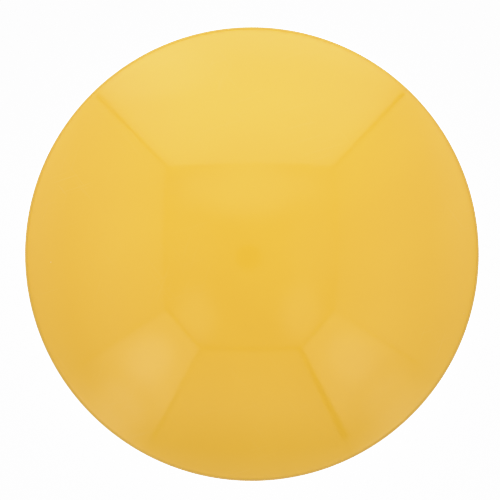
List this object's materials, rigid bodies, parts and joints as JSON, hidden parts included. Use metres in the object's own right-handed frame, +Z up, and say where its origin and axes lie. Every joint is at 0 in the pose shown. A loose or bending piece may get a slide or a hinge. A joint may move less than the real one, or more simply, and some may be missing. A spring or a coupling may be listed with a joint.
{
  "type": "curling stone",
  "caption": "Handle-less floor curling stone: a glossy domed disc over a weighted base with a rubber bumper, rolling on recessed steel ball units.",
  "frame": {"origin": "on the stone's axis, in the plane of the floor that its three balls stand on", "axes": "+Z up along the stone's axis, through the dome's apex; one ball unit lies on -Y, the other two towards +X and -X"},
  "size_m": [0.285, 0.285, 0.094],
  "materials": {
    "cover": "glossy moulded ABS, yellow, faint orange peel",
    "base": "moulded ABS, dark grey, spark-eroded texture",
    "rubber": "black moulded rubber, matt",
    "foam": "grey open-cell foam",
    "felt": "off-white pressed felt",
    "ballast": "cast iron, thin black paint",
    "zinc": "zinc-plated steel, satin",
    "black_steel": "black oxide steel, satin",
    "ball_steel": "polished bearing steel",
    "seat_steel": "hardened steel, ground"
  },
  "bodies": {
    "stone": {"dome_cover": "cover", "base_tray": "base", "bumper_ring": "rubber", "ballast_pad": "rubber", "ballast_plate_lower": "ballast", "ballast_plate_upper": "ballast", "ballast_washer": "zinc", "ballast_nut": "zinc", "ballast_bolt": "zinc", "dome_damping_foam": "foam", "shell_screw_1": "black_steel", "shell_screw_2": "black_steel", "shell_screw_3": "black_steel", "shell_screw_4": "black_steel", "shell_screw_5": "black_steel", "shell_screw_6": "black_steel", "ball_housing_1": "zinc", "ball_seat_1": "seat_steel", "retainer_ring_1": "zinc", "wiper_ring_1": "felt", "flange_screw_1_1": "black_steel", "flange_screw_1_2": "black_steel", "flange_screw_1_3": "black_steel", "ball_housing_2": "zinc", "ball_seat_2": "seat_steel", "retainer_ring_2": "zinc", "wiper_ring_2": "felt", "flange_screw_2_1": "black_steel", "flange_screw_2_2": "black_steel", "flange_screw_2_3": "black_steel", "ball_housing_3": "zinc", "ball_seat_3": "seat_steel", "retainer_ring_3": "zinc", "wiper_ring_3": "felt", "flange_screw_3_1": "black_steel", "flange_screw_3_2": "black_steel", "flange_screw_3_3": "black_steel"},
    "support_set_1": {"support_balls_1": "ball_steel"},
    "ball_1": {"main_ball_1": "ball_steel"},
    "support_set_2": {"support_balls_2": "ball_steel"},
    "ball_2": {"main_ball_2": "ball_steel"},
    "support_set_3": {"support_balls_3": "ball_steel"},
    "ball_3": {"main_ball_3": "ball_steel"}
  },
  "joints": [
    {"name": "ball_swivel_1", "type": "hinge", "parent": "stone", "child": "support_set_1", "pos_m": [0.07275, 0.042, 0.0111], "axis": [0, 0, 1], "continuous": true},
    {"name": "ball_roll_1", "type": "hinge", "parent": "support_set_1", "child": "ball_1", "pos_m": [0.07275, 0.042, 0.0111], "axis": [0.866, 0.5, 0], "continuous": true},
    {"name": "ball_swivel_2", "type": "hinge", "parent": "stone", "child": "support_set_2", "pos_m": [-0.07275, 0.042, 0.0111], "axis": [0, 0, 1], "continuous": true},
    {"name": "ball_roll_2", "type": "hinge", "parent": "support_set_2", "child": "ball_2", "pos_m": [-0.07275, 0.042, 0.0111], "axis": [-0.866, 0.5, 0], "continuous": true},
    {"name": "ball_swivel_3", "type": "hinge", "parent": "stone", "child": "support_set_3", "pos_m": [0, -0.084, 0.0111], "axis": [0, 0, 1], "continuous": true},
    {"name": "ball_roll_3", "type": "hinge", "parent": "support_set_3", "child": "ball_3", "pos_m": [0, -0.084, 0.0111], "axis": [0, -1, 0], "continuous": true}
  ]
}
